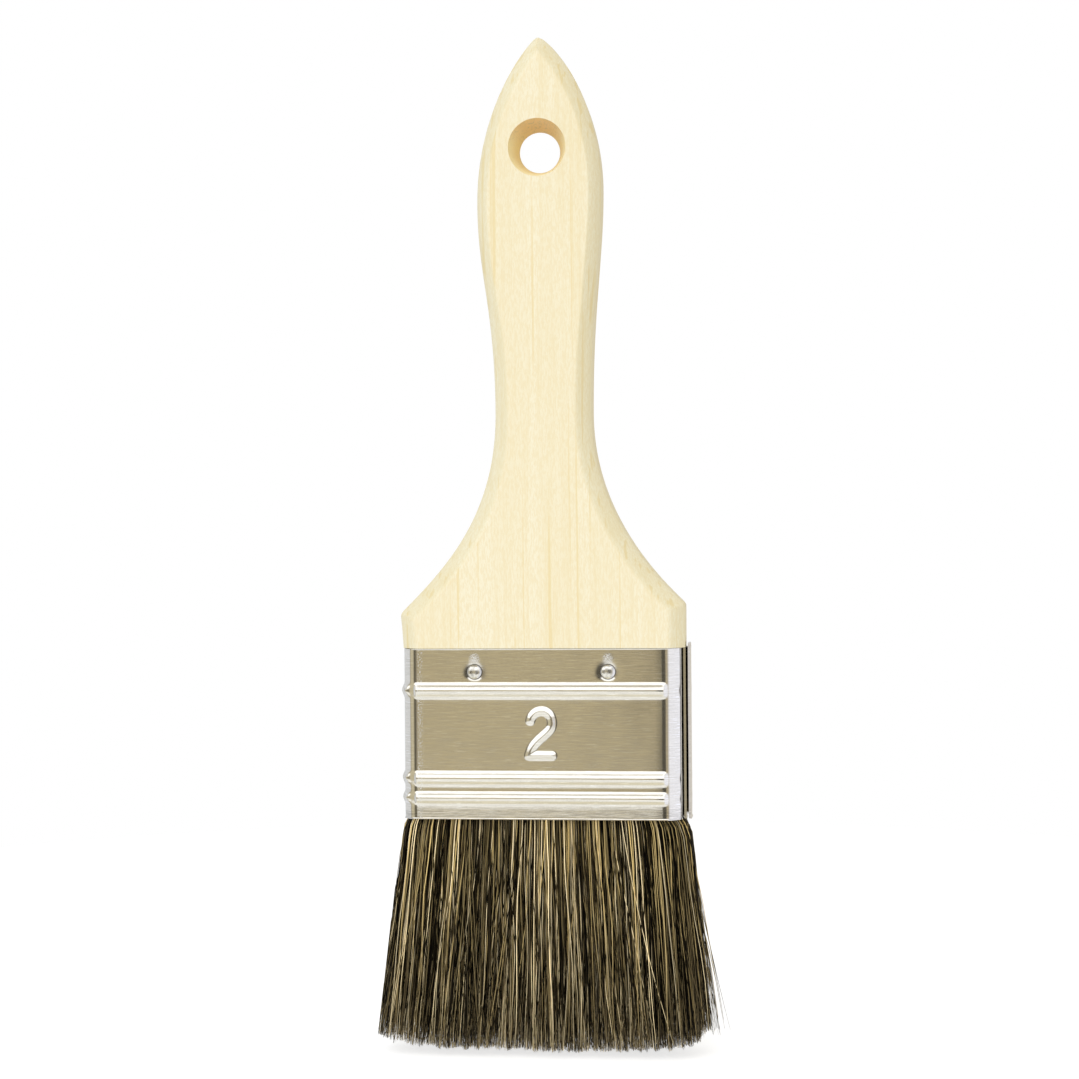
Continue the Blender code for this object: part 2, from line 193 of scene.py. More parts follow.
WOOD_PALE = (0.865, 0.81, 0.625)
WOOD_STREAK = (0.80, 0.695, 0.44)
WOOD_LINE = (0.78, 0.64, 0.33)
WOOD_BORE = (1.0, 0.88, 0.54)
WOOD_EDGE_SHADE = (0.93, 0.935, 0.91)  # painted shade: multiplies the colour of the rounded edges
TIN = (0.88, 0.85, 0.79)
TIN_DARK = scaled(TIN, 0.66)
TIN_LIGHT = scaled(TIN, 1.35)
TIN_ROUGHNESS = 0.11
NAIL_STEEL = (0.85, 0.83, 0.78)

# Marks: a name, the stretch of the noise along each axis, its detail and roughness, the values at
# which the mark begins and is full, its share and its colour
WOOD_MARKS = (
    ("fibres", (4200, 4200, 1000), 3.0, 0.65, 0.38, 0.62, 0.62, WOOD_STREAK),
    ("streaks", (1300, 1300, 26), 4.0, 0.6, 0.46, 0.74, 0.55, WOOD_STREAK),
    ("broad", (240, 240, 7), 3.0, 0.5, 0.42, 0.70, 0.30, WOOD_STREAK),
    ("veins", (1150, 900, 9), 2.0, 0.4, 0.60, 0.68, 0.62, WOOD_LINE),
)
TIN_MARKS = (
    ("streaks", (260, 4400, 1), 3.0, 0.65, 0.38, 0.62, 0.26, TIN_DARK),
    ("grain", (2600, 5200, 1), 2.0, 0.6, 0.30, 0.70, 0.16, TIN_DARK),
    ("clouds", (90, 140, 1), 3.0, 0.5, 0.40, 0.70, 0.12, TIN_DARK),
    ("scratches", (330, 4700, 1), 2.0, 0.5, 0.58, 0.70, 0.60, TIN_LIGHT),
)


def bore_wall(tree, place):
    """Where the hanging hole's wall is, its colour, and its specks. The colour holds painted shade,
    darker deep in the hole and toward its top, and scorch specks laid on most strongly at the top.
    """
    x, y, z = split(tree, place)
    above_axis = maths(tree, "SUBTRACT", z, HOLE_HEIGHT)
    radius = length(tree, x, above_axis)
    in_bore = remap(tree, radius, HOLE_MOUTH_RADIUS + 0.05 * MM, HOLE_MOUTH_RADIUS - 0.05 * MM)
    half_depth = HANDLE_THICKNESS / 2
    # Painted shade: the wall darkens toward the middle of the hole, deep in the recess.
    depth_shade = remap(tree, maths(tree, "ABSOLUTE", y), half_depth, 0.1 * half_depth)
    colour = blend_colours(tree, depth_shade, WOOD_BORE, scaled(WOOD_BORE, 0.99, 0.93, 0.80))
    # Painted shade: the wall darkens toward the top of the hole.
    shaded = remap(tree, above_axis, 0.1 * HOLE_RADIUS, 0.9 * HOLE_MOUTH_RADIUS)
    colour = blend_colours(tree, shaded, colour, scaled(WOOD_BORE, 0.78, 0.60, 0.44))
    specks = noise(tree, place, (2600, 1300, 2600), 4.0, 0.7)
    # The scorch specks are laid on more strongly where the painted shade at the top is.
    scorch_and_shade_strength = maths(tree, "ADD", maths(tree, "MULTIPLY", shaded, 0.6), 0.08)
    scorched = remap(tree, specks, 0.48, 0.70)
    return in_bore, layer(tree, colour, scaled(WOOD_BORE, 0.45), scorched, scorch_and_shade_strength), specks


def make_wood():
    """Pale close-grained wood: the grain runs along Z, the bore's wall is browner, rough and darkened
    with painted shade, and the rounded edges are darkened with painted shade.
    """
    material, tree, shader = start_material("pale_wood")
    place = add_node(tree, "ShaderNodeTexCoord").outputs["Object"]
    wander = noise(tree, place, (30, 30, 22), 2.0, 0.5)
    offset = maths(tree, "MULTIPLY", maths(tree, "SUBTRACT", wander, 0.5), 1.2 * MM)
    shift = add_node(tree, "ShaderNodeCombineXYZ", {"X": offset}).outputs[0]
    grain_place = add_node(tree, "ShaderNodeVectorMath", {0: place, 1: shift}).outputs[0]
    colour, fields = lay_marks(tree, grain_place, WOOD_PALE, WOOD_MARKS)
    # The bore's colour carries its painted shade.
    in_bore, bore_colour_and_shade, specks = bore_wall(tree, place)
    colour = blend_colours(tree, in_bore, colour, bore_colour_and_shade)

    # Painted shade: where the surface turns from the front toward the rounded edges and sides, the
    # colour is darkened.
    normal = add_node(tree, "ShaderNodeNewGeometry").outputs["Normal"]
    edge_shade_mask = remap(tree, maths(tree, "ABSOLUTE", split(tree, normal)["Y"]), 0.97, 0.80)
    shaded_edge_colour = blend_colours(tree, 1.0, colour, WOOD_EDGE_SHADE, "MULTIPLY")
    colour = blend_colours(tree, edge_shade_mask, colour, shaded_edge_colour)

    streaks = fields["streaks"]
    finish = remap(tree, streaks, 0.3, 0.7, 0.46, 0.60)
    set_inputs(tree, shader, {"Base Color": colour, "Roughness": finish, "IOR": 1.45})
    parts = ((streaks, 0.45), (fields["fibres"], 0.55), (maths(tree, "MULTIPLY", specks, in_bore), 2.5))
    reliefs = [maths(tree, "MULTIPLY", part, weight) for part, weight in parts]
    relief = maths(tree, "ADD", maths(tree, "ADD", *reliefs[:2]), reliefs[2])
    add_bump(tree, shader, relief, 0.035 * MM, 0.6)
    return material


def near_nails(tree, place, inner, outer, lift=0.0):
    """1 within the inner distance of a nail's axis, or of a line above it, and 0 beyond the outer."""
    x, _, z = split(tree, place)
    across = maths(tree, "SUBTRACT", maths(tree, "ABSOLUTE", x), NAIL_X)
    above = maths(tree, "SUBTRACT", z, NAIL_HEIGHT + lift)
    return remap(tree, length(tree, across, above), outer, inner)


def tin_wear(tree, place, solid):
    """Where the tin is rubbed: in specks along the left bend and in a scuff above each nail."""
    inward = maths(tree, "ADD", split(tree, solid)["X"], FERRULE_HALF_WIDTH - FERRULE_CORNER_RADIUS)
    edges = [remap(tree, inward, *ends) for ends in ((-0.3 * MM, 0.1 * MM), (0.3 * MM, 1.3 * MM))]
    rubbed = maths(tree, "SUBTRACT", *edges)
    scuffed = near_nails(tree, solid, 0.3 * MM, 1.3 * MM, 2.4 * MM)
    specks = noise(tree, place, (3200, 5200, 1), 3.0, 0.7)
    few = maths(tree, "MULTIPLY", rubbed, remap(tree, specks, 0.50, 0.62))
    many = maths(tree, "MULTIPLY", scuffed, remap(tree, specks, 0.36, 0.56))
    return maths(tree, "MAXIMUM", few, many)


def make_tinplate():
    """Bright tin plate, brushed along the strip. The UV map holds metres along and up the strip."""
    material, tree, shader = start_material("tinplate")
    place = add_node(tree, "ShaderNodeUVMap", uv_map="strip").outputs[0]
    solid = add_node(tree, "ShaderNodeTexCoord").outputs["Object"]
    base, fields = lay_marks(tree, place, TIN, TIN_MARKS)
    streaks = fields["streaks"]

    # Painted shade: a dark ring on the tin round each nail head, where the head meets the sheet.
    nail_contact_shade = [near_nails(tree, solid, *ends) for ends in ((1.38 * MM, 1.50 * MM), (1.10 * MM, 1.25 * MM))]
    base = layer(tree, base, scaled(TIN, 0.25), maths(tree, "SUBTRACT", *nail_contact_shade), 0.55)
    worn = tin_wear(tree, place, solid)
    base = layer(tree, base, TIN_LIGHT, worn, 0.7)
    near_mouth = remap(tree, split(tree, solid)["Z"], MOUTH + 2.6 * MM, MOUTH + 1.2 * MM)
    stained = maths(tree, "MULTIPLY", near_mouth, remap(tree, streaks, 0.42, 0.62))
    base = layer(tree, base, scaled(TIN, 0.40), stained, 0.40)
    finish = maths(tree, "ADD", remap(tree, streaks, 0.3, 0.8, -0.02, 0.06), TIN_ROUGHNESS)
    finish = maths(tree, "ADD", finish, maths(tree, "MULTIPLY", worn, 0.35))
    set_inputs(tree, shader, {"Base Color": base, "Roughness": finish, "Metallic": 1.0})
    add_bump(tree, shader, noise(tree, place, (190, 6200, 1), 4.0, 0.65), 0.006 * MM, 0.45)
    return material


def make_nail_steel():
    """Bright plated wire, slightly uneven, with painted shade as a dark outline round the head's rim.
    """
    material, tree, shader = start_material("nail_steel")
    place = add_node(tree, "ShaderNodeTexCoord").outputs["Object"]
    mottling = noise(tree, place, (1800, 1800, 1800), 3.0, 0.6)
    base = blend_colours(tree, remap(tree, mottling, 0.35, 0.7), NAIL_STEEL, scaled(NAIL_STEEL, 0.7))
    # Painted shade: the head's rim is darkened into a dark outline.
    head_rim_shade = maths(tree, "SUBTRACT", 1.0, near_nails(tree, place, 1.16 * MM, 1.34 * MM))
    base = layer(tree, base, scaled(NAIL_STEEL, 0.12), head_rim_shade, 0.9)
    finish = remap(tree, mottling, 0.3, 0.7, 0.16, 0.30)
    set_inputs(tree, shader, {"Base Color": base, "Roughness": finish, "Metallic": 1.0})
    add_bump(tree, shader, mottling, 0.008 * MM, 0.4)
    return material


def make_bristle(name, root, tip, gloss, strength):
    """One tone of hair. The UV map holds a number of the hair's own, and the share of its length."""
    material, tree, shader = start_material(name)
    place = add_node(tree, "ShaderNodeUVMap", uv_map="hair").outputs[0]
    own = noise(tree, place, (800, 0.8, 1), 2.0, 0.5)
    along = noise(tree, place, (800, 14, 1), 2.0, 0.5)
    colour = blend_colours(tree, remap(tree, split(tree, place)["Y"], 0.25, 1.0), root, tip)
    lighter = blend_colours(tree, 1.0, colour, (1.62, 1.56, 1.42), "MULTIPLY")
    darker = blend_colours(tree, 1.0, colour, (0.45, 0.45, 0.45), "MULTIPLY")
    colour = blend_colours(tree, remap(tree, own, 0.3, 0.7), darker, lighter)
    colour = blend_colours(tree, remap(tree, along, 0.55, 0.8, 0.0, 0.4), colour, darker)
    finish = remap(tree, along, 0.3, 0.7, gloss, gloss + 0.15)
    surface = {"Base Color": colour, "Roughness": finish, "IOR": 1.5, "Specular IOR Level": strength}
    set_inputs(tree, shader, surface)
    return material


def make_plain_noise(name, colour, roughness, grain, relief):
    """A dull material with a mottled colour and a rough surface."""
    material, tree, shader = start_material(name)
    place = add_node(tree, "ShaderNodeTexCoord").outputs["Object"]
    mottling = noise(tree, place, grain, 4.0, 0.6)
    base = blend_colours(tree, remap(tree, mottling, 0.3, 0.7), colour, scaled(colour, 0.6))
    set_inputs(tree, shader, {"Base Color": base, "Roughness": roughness})
    add_bump(tree, shader, mottling, relief, 0.5)
    return material


# ---------------- mesh helpers


def add_object(name, data):
    """A new object in the scene that shows the data."""
    made = bpy.data.objects.new(name, data)
    bpy.context.scene.collection.objects.link(made)
    return made


def make_piece(name, vertices, faces, material):
    """A mesh object from lists or arrays of vertices and faces."""
    mesh = bpy.data.meshes.new(name)
    mesh.from_pydata(vertices, [], faces)
    mesh.validate()
    mesh.shade_smooth()
    mesh.materials.append(material)
    return add_object(name, mesh)


def built_piece(name, builder, material):
    """A mesh object from a finished bmesh."""
    mesh = bpy.data.meshes.new(name)
    builder.to_mesh(mesh)
    builder.free()
    mesh.materials.append(material)
    return add_object(name, mesh)


def add_uv_map(piece, name, spots):
    """A UV map that gives each vertex its spot."""
    corners = np.zeros(len(piece.data.loops), np.int32)
    piece.data.loops.foreach_get("vertex_index", corners)
    uv_map = piece.data.uv_layers.new(name=name)
    uv_map.uv.foreach_set("vector", spots[corners].astype(np.float32).ravel())


def apply_modifiers(piece):
    """Replace a piece's mesh with the one that its modifiers give."""
    graph = bpy.context.evaluated_depsgraph_get()
    mesh = bpy.data.meshes.new_from_object(piece.evaluated_get(graph), depsgraph=graph)
    piece.modifiers.clear()
    old = piece.data
    piece.data = mesh
    mesh.name = piece.name
    bpy.data.meshes.remove(old)


def curve_points(knots, count):
    """Points along the curve that four knots in millimetres give."""
    corners = [Vector((x * MM, z * MM, 0.0)) for x, z in knots]
    return [(point.x, point.y) for point in interpolate_bezier(*corners, count)]


def quarter_turn(steps):
    """Angles from 0 to 90 degrees in equal steps, both ends included."""
    return [math.pi / 2 * i / steps for i in range(steps + 1)]


def turned(profile, sides):
    """Vertices and faces of a closed body turned about Y, from (radius, y) points."""
    vertices = []
    for radius, y in profile:
        for i in range(sides):
            angle = 2 * math.pi * i / sides
            vertices.append((radius * math.cos(angle), y, radius * math.sin(angle)))
    faces = []
    for ring in range(len(profile) - 1):
        for i in range(sides):
            j = (i + 1) % sides
            low, high = ring * sides, (ring + 1) * sides
            faces.append((low + i, high + i, high + j, low + j))
    faces.append(tuple(range(sides)))
    faces.append(tuple(reversed(range((len(profile) - 1) * sides, len(profile) * sides))))
    return vertices, faces


def face_outward(piece):
    """Turn all of a closed piece's faces outward."""
    builder = bmesh.new()
    builder.from_mesh(piece.data)
    bmesh.ops.recalc_face_normals(builder, faces=builder.faces[:])
    builder.to_mesh(piece.data)
    builder.free()


# ---------------- handle

HOLE_STEPS = 12
HOLE_BULGE = 0.95  # 1 makes each half of the hole a straight cone
SHARP_ANGLE = math.radians(50)  # edges of the handle and ferrule that turn by more stay sharp
CURVE_STEPS = 40
ROUNDING_STEPS = 10

# The handle's two sides, in millimetres from the middle and above the tips: tip to grip, grip to
# neck, neck to shoulder, the shoulder's slightly rounded corner, and the base
RIGHT_CURVES = (
    ((0.55, 180.60), (5.37, 177.10), (11.16, 166.84), (11.16, 154.04)),
    ((11.16, 154.04), (11.16, 142.19), (9.09, 133.06), (9.09, 113.86)),
    ((9.09, 113.86), (9.09, 97.17), (19.25, 85.85), (24.75, 80.52)),
    ((24.75, 80.52), (25.2, 80.08), (25.45, 79.85), (25.45, 79.2)),
)
RIGHT_BASE = ((25.45, 77.0), (25.42, 72.5), (25.42, 69.0))
LEFT_CURVES = (
    ((0.35, 180.60), (3.12, 178.23), (11.04, 167.39), (11.04, 151.25)),
    ((11.04, 151.25), (11.04, 138.2), (8.05, 132.87), (8.05, 113.97)),
    ((8.05, 113.97), (8.05, 96.18), (16.9, 86.81), (24.65, 79.1)),
    ((24.65, 79.1), (25.15, 78.6), (25.4, 78.3), (25.37, 77.7)),
)
LEFT_BASE = ((25.2, 76.0), (24.95, 72.5), (24.95, 69.0))


def handle_side(curves, base):
    """(distance from the middle, height) points down one side, from the tip to below the base."""
    points = [(0.0, TIP_TOP), (0.15 * MM, TIP_TOP - 0.01 * MM)]
    for knots in curves:
        points += curve_points(knots, CURVE_STEPS)[1:]
    points += [(x * MM, z * MM) for x, z in base]
    return points


def inset_side(side, distance):
    """Move a side inward by a distance. Points that would cross the middle meet on it."""
    moved = [(0.0, side[0][1] - distance)]
    for i in range(1, len(side)):
        before = side[i - 1]
        after = side[min(i + 1, len(side) - 1)]
        along = Vector((after[0] - before[0], after[1] - before[1]))
        along.normalize()
        reach = distance * np.interp(side[i][1], EDGE_HEIGHTS, EDGE_SHARES)
        moved.append((side[i][0] + along.y * reach, side[i][1] - along.x * reach))
    first_clear = next(i for i, point in enumerate(moved) if point[0] > 0.01 * MM)
    if first_clear > 1:
        inner, outer = moved[first_clear - 1], moved[first_clear]
        share = inner[0] / (inner[0] - outer[0])
        crossing = inner[1] + share * (outer[1] - inner[1])
        moved[:first_clear] = [(0.0, crossing)] * first_clear
    return moved


def without_loops(side):
    """Where an inset side crosses itself, pull the points of the loop together at the crossing."""
    points = [Vector(point) for point in side]
    i = 0
    while i < len(points) - 3:
        for j in range(min(len(points) - 2, i + 60), i + 1, -1):
            crossing = intersect_line_line_2d(points[i], points[i + 1], points[j], points[j + 1])
            if crossing is not None and points[i] != points[i + 1] and points[j] != points[j + 1]:
                points[i + 1 : j + 1] = [crossing] * (j - i)
                i = j
                break
        i += 1
    return [(point.x, point.y) for point in points]


def build_handle(material):
    """The handle: a slab with rounded edges, cut square at its base, with the hanging hole."""
    right_side = handle_side(RIGHT_CURVES, RIGHT_BASE)
    left_side = handle_side(LEFT_CURVES, LEFT_BASE)
    count = len(right_side)
    half_flat = HANDLE_THICKNESS / 2 - EDGE_RADIUS
    sections = []
    power = 2 / EDGE_FULLNESS
    for angle in reversed(quarter_turn(ROUNDING_STEPS)):
        inset = EDGE_RADIUS * (1 - max(0.0, math.cos(angle)) ** power)
        sections.append((inset, half_flat + EDGE_RADIUS * math.sin(angle) ** power))
    sections += [(inset, -y) for inset, y in reversed(sections)]

    builder = bmesh.new()
    loops = []
    for inset, y in sections:
        right = without_loops(inset_side(right_side, inset))
        left = without_loops(inset_side(left_side, inset))
        top = max(right[0][1], left[0][1])
        ring = [(0.0, y, top)] + [(x, y, z) for x, z in right[1:]]
        ring += [(-x, y, z) for x, z in reversed(left[1:])]
        loops.append([builder.verts.new(point) for point in ring])
    size = len(loops[0])
    for lower, upper in zip(loops, loops[1:]):
        for i in range(size):
            j = (i + 1) % size
            builder.faces.new((lower[i], lower[j], upper[j], upper[i]))
    for loop in (loops[0], loops[-1]):
        right = loop[:count]
        left = loop[:1] + loop[: count - 1 : -1]
        builder.faces.new((right[0], right[1], left[1]))
        for i in range(1, count - 1):
            builder.faces.new((right[i], right[i + 1], left[i + 1], left[i]))
    bmesh.ops.remove_doubles(builder, verts=builder.verts[:], dist=0.002 * MM)
    everything = builder.verts[:] + builder.edges[:] + builder.faces[:]
    base = (0, 0, BASE_HEIGHT - 0.2 * MM)
    cut = bmesh.ops.bisect_plane(
        builder, geom=everything, plane_co=base, plane_no=(0, 0, 1), clear_inner=True
    )
    rim = [part for part in cut["geom_cut"] if isinstance(part, bmesh.types.BMEdge)]
    bmesh.ops.edgeloop_fill(builder, edges=rim)
    bmesh.ops.recalc_face_normals(builder, faces=builder.faces[:])
    handle = built_piece("wooden_handle", builder, material)

    face = HANDLE_THICKNESS / 2
    flare = []
    for i in range(HOLE_STEPS + 1):
        share = i / HOLE_STEPS
        radius = HOLE_RADIUS + (HOLE_MOUTH_RADIUS - HOLE_RADIUS) * share**HOLE_BULGE
        flare.append((radius, face * share))
    flare.append((HOLE_MOUTH_RADIUS + 0.12 * MM, face + 0.05 * MM))
    flare.append((HOLE_MOUTH_RADIUS + 0.12 * MM, face + MM))
    profile = [(radius, -y) for radius, y in reversed(flare[1:])] + flare
    cutter = make_piece("hole_cutter", *turned(profile, 72), material)
    cutter.data.transform(Matrix.Translation((0, 0, HOLE_HEIGHT)))
    face_outward(cutter)
    boolean = handle.modifiers.new("hole", "BOOLEAN")
    boolean.operation = "DIFFERENCE"
    boolean.object = cutter
    apply_modifiers(handle)
    bpy.data.objects.remove(cutter)
    handle.data.shade_smooth()
    handle.data.set_sharp_from_angle(angle=SHARP_ANGLE)
    weighted = handle.modifiers.new("weighted", "WEIGHTED_NORMAL")
    weighted.keep_sharp = True
    weighted.weight = 100
    apply_modifiers(handle)
    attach(handle, ROOT_BODY)
    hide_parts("handle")


# ---------------- ferrule

SEAM_FRONT = -2.4 * MM
SEAM_BACK = 1.8 * MM
SEAM_RISE = 0.9 * MM
BEADS = (  # height of the middle, half width, rise
    (64.7 * MM, 1.65 * MM, 0.47 * MM),
    (49.15 * MM, 1.55 * MM, 0.45 * MM),
    (45.65 * MM, 1.40 * MM, 0.42 * MM),
)
NUMERAL_RISE = 0.31 * MM
NUMERAL_STROKE = 0.80 * MM  # half width of the raised stroke
NUMERAL_STEPS = 18
NUMERAL_CURVES = (  # the stroke's middle in millimetres: the arc, the swan neck and the foot
    ((-2.0, 59.4), (-1.55, 61.6), (1.8, 61.95), (1.85, 58.95)),
    ((1.85, 58.95), (1.85, 57.0), (-1.5, 56.35), (-2.25, 53.25)),
    ((-2.25, 53.25), (-0.9, 53.25), (0.45, 53.25), (1.85, 53.25)),
)
DIMPLE_DEPTH = 0.25 * MM
DIMPLE_HALF_WIDTH = 1.25 * MM
DIMPLE_HALF_HEIGHT = 1.8 * MM
PUCKERS = (  # in millimetres from a nail: to the right, up; half width, half height and rise
    (-0.15, 2.30, 1.00, 0.42, 0.030),
    (-0.40, 2.95, 0.80, 0.36, 0.024),
)
DIMPLE_END = 66.4 * MM  # the upper bead keeps the sheet flat below this height
MOUTH_PINCH = (0.03 * MM, 2.2 * MM)  # how far the bottom edge leans inward, from what height on
MOUTH_LIP = (0.14 * MM, 0.35 * MM)  # how far the cut edge flares, and over what height
TOP_LIP = (0.03 * MM, 0.2 * MM)
CORNER_TURNS = (  # the shares of a bend at which the strip is drawn
    0.0, 0.04, 0.08, 0.12, 0.16, 0.20, 0.25, 0.30, 0.36, 0.43, 0.50,
    0.57, 0.64, 0.70, 0.75, 0.80, 0.84, 0.88, 0.92, 0.96, 1.0,
)
PINCH_TURNS = (0.0, 0.07, 0.16, 0.34, 0.50)  # the beads flatten just round each bend, and rise again
PINCH_SHARES = (1.0, 1.0, 0.2, 0.2, 1.0)


def strip_columns():
    """The strip seen from above, as rows of (x, y, side x, side y, way x, way y, bead share, rise).

    side is the strip's own normal, and way is the direction in which the beads push it.
    """
    half = SHEET / 2
    inner_x = FERRULE_HALF_WIDTH - half
    middle_x = inner_x + SHEET + INNER_PLY_GAP
    outer_x = middle_x + SHEET + OUTER_PLY_GAP
    wall_y = FERRULE_HALF_THICKNESS - half
    bend = FERRULE_CORNER_RADIUS - half
    columns = []

    def straight(start, end, places, side, way, share, rise):
        for place in places:
            x = start[0] + (end[0] - start[0]) * place
            y = start[1] + (end[1] - start[1]) * place
            columns.append((x, y, *side, *way, share, rise))

    def bent(centre, radius, first, sweep, shares, way=None, flip=1.0):
        for turn in CORNER_TURNS:
            angle = math.radians(first + sweep * turn)
            out = (math.cos(angle), math.sin(angle))
            share = shares[0] + (shares[1] - shares[0]) * turn
            pinch = np.interp(min(turn, 1.0 - turn), PINCH_TURNS, PINCH_SHARES)
            spot = (centre[0] + out[0] * radius, centre[1] + out[1] * radius)
            side = (out[0] * flip, out[1] * flip)
            columns.append((*spot, *side, *(way or out), share * pinch, 0.0))

    right, left, front, back = (1.0, 0.0), (-1.0, 0.0), (0.0, -1.0), (0.0, 1.0)
    ends = [0.0, 0.5]
    straight((middle_x, SEAM_FRONT), (middle_x, SEAM_BACK), ends, left, right, 0.0, 0.0)
    fold = ((middle_x + inner_x) / 2, SEAM_BACK)
    bent(fold, (middle_x - inner_x) / 2, 0, 180, (0.0, 0.0), right, -1.0)
    side_start, side_end = (inner_x, SEAM_BACK), (inner_x, -wall_y + FRONT_RIGHT_RADIUS)
    straight(side_start, side_end, [0.4, 0.8], right, right, 0.0, 0.0)
    wide_bend = FRONT_RIGHT_RADIUS - half
    bent((inner_x - wide_bend, -wall_y + wide_bend), wide_bend, 0, -90, (0.0, 1.0))

    panel = inner_x - bend
    panel_right = inner_x - wide_bend
    fine = list(np.arange(-3.9, 3.91, 0.15) * MM)
    round_nails = [side * (NAIL_X + k * 0.3 * MM) for side in (-1, 1) for k in range(-10, 11)]
    coarse = [k * MM for k in range(-22, 23) if abs(k) > 4 and abs(abs(k) - 11.9) > 3.0]
    first, last = 0.3 * MM - panel, panel_right - 0.3 * MM
    inside = [x for x in fine + round_nails + coarse if first < x < last]
    shares = [(panel_right - x) / (panel_right + panel) for x in sorted(inside, reverse=True)]
    straight((panel_right, -wall_y), (-panel, -wall_y), shares, front, front, 1.0, 0.0)
    bent((-panel, -wall_y + bend), bend, -90, -90, (1.0, 1.0))
    side = [0.2, 0.4, 0.6, 0.8]
    straight((-inner_x, -wall_y + bend), (-inner_x, wall_y - bend), side, left, left, 1.0, 0.0)
    bent((-panel, wall_y - bend), bend, -180, -90, (1.0, 1.0))
    places = sorted(round_nails + coarse + [0.0, 2 * MM, -2 * MM])
    back_end = outer_x - bend
    shares = [(x + panel) / (back_end + panel) for x in places]
    straight((-panel, wall_y), (back_end, wall_y), shares, back, back, 1.0, 0.0)
    bent((back_end, wall_y - bend), bend, -270, -90, (1.0, 0.0))
    outer_ends = [0.3, 0.6, 0.9, 1.0]
    hem = (outer_x - 0.05 * MM, SEAM_FRONT)
    straight((outer_x, wall_y - bend), hem, outer_ends, right, right, 0.0, SEAM_RISE)
    columns[-1] = (*hem, 1.0, 0.34, *columns[-1][4:])  # the cut end slants
    return np.array(columns)


def ferrule_rows():
    """The heights at which the strip is drawn, close together over the beads and the numeral."""
    rows = list(np.arange(41.9, 43.2, 0.1))
    for middle, half_width, _ in BEADS:
        rows += list(np.linspace(middle - half_width, middle + half_width, 27) / MM)
    rows += list(np.arange(51.6, 62.3, 0.15))
    rows += list(np.arange(66.6, 71.6, 0.3))
    rows += [43.5, 50.9, 71.8, 71.9, 72.0, 72.1]
    rows = sorted(row * MM for row in rows)
    kept = [rows[0]]
    for row in rows[1:]:
        if row - kept[-1] > 0.06 * MM:
            kept.append(row)
    kept[-1] = FERRULE_TOP
    return np.array(kept)


def bump_profile(distance):
    """1 in the middle, falling smoothly to 0 at distance 1."""
    inside = np.clip(distance, 0.0, 1.0)
    return 0.5 + 0.5 * np.cos(np.pi * inside)


def distance_to_segment(x, z, start, end):
    """Distance of points from a straight stroke."""
    dx, dz = end[0] - start[0], end[1] - start[1]
    share = ((x - start[0]) * dx + (z - start[1]) * dz) / (dx * dx + dz * dz)
    share = np.clip(share, 0.0, 1.0)
    return np.hypot(x - start[0] - share * dx, z - start[1] - share * dz)


def numeral_stroke():
    """The size mark, a plain 2, as the points of one stroke."""
    points = []
    for knots in NUMERAL_CURVES:
        points += curve_points(knots, NUMERAL_STEPS)
    return points


def front_relief(x, z):
    """How far the front panel stands out for the numeral and goes in round the nails."""
    distance = np.full_like(x, 1.0)
    points = numeral_stroke()
    for start, end in zip(points, points[1:]):
        if start != end:
            distance = np.minimum(distance, distance_to_segment(x, z, start, end))
    relief = NUMERAL_RISE * np.clip(1.0 - distance / NUMERAL_STROKE, 0.0, 1.0)
    return relief + nail_dimples(x, z)


def nail_dimples(x, z):
    """The dents that the nails pulled into the sheet, and the pucker above each."""
    relief = np.zeros_like(x)
    above_bead = np.clip((z - DIMPLE_END) / (0.8 * MM), 0.0, 1.0)
    for nail_x in (-NAIL_X, NAIL_X):
        reach = np.hypot((x - nail_x) / DIMPLE_HALF_WIDTH, (z - NAIL_HEIGHT) / DIMPLE_HALF_HEIGHT)
        upper = np.clip((z - NAIL_HEIGHT) / (1.5 * MM), 0.0, 1.0)
        relief -= DIMPLE_DEPTH * (1.0 - 0.6 * upper) * np.exp(-(reach**2)) * above_bead
        for shift_x, shift_z, half_width, half_height, size in PUCKERS:
            across = (x - nail_x - shift_x * MM) / (half_width * MM)
            above = (z - NAIL_HEIGHT - shift_z * MM) / (half_height * MM)
            relief += size * MM * np.exp(-(across**2) - above**2)
    return relief


def sheet_waves(along, height):
    """Slow, slight unevenness of rolled sheet."""
    wave = np.sin(along * 410 + 1.3) * np.sin(height * 260 + 0.4)
    wave += 0.6 * np.sin(along * 930 + height * 310 + 2.1)
    return 0.006 * MM * wave


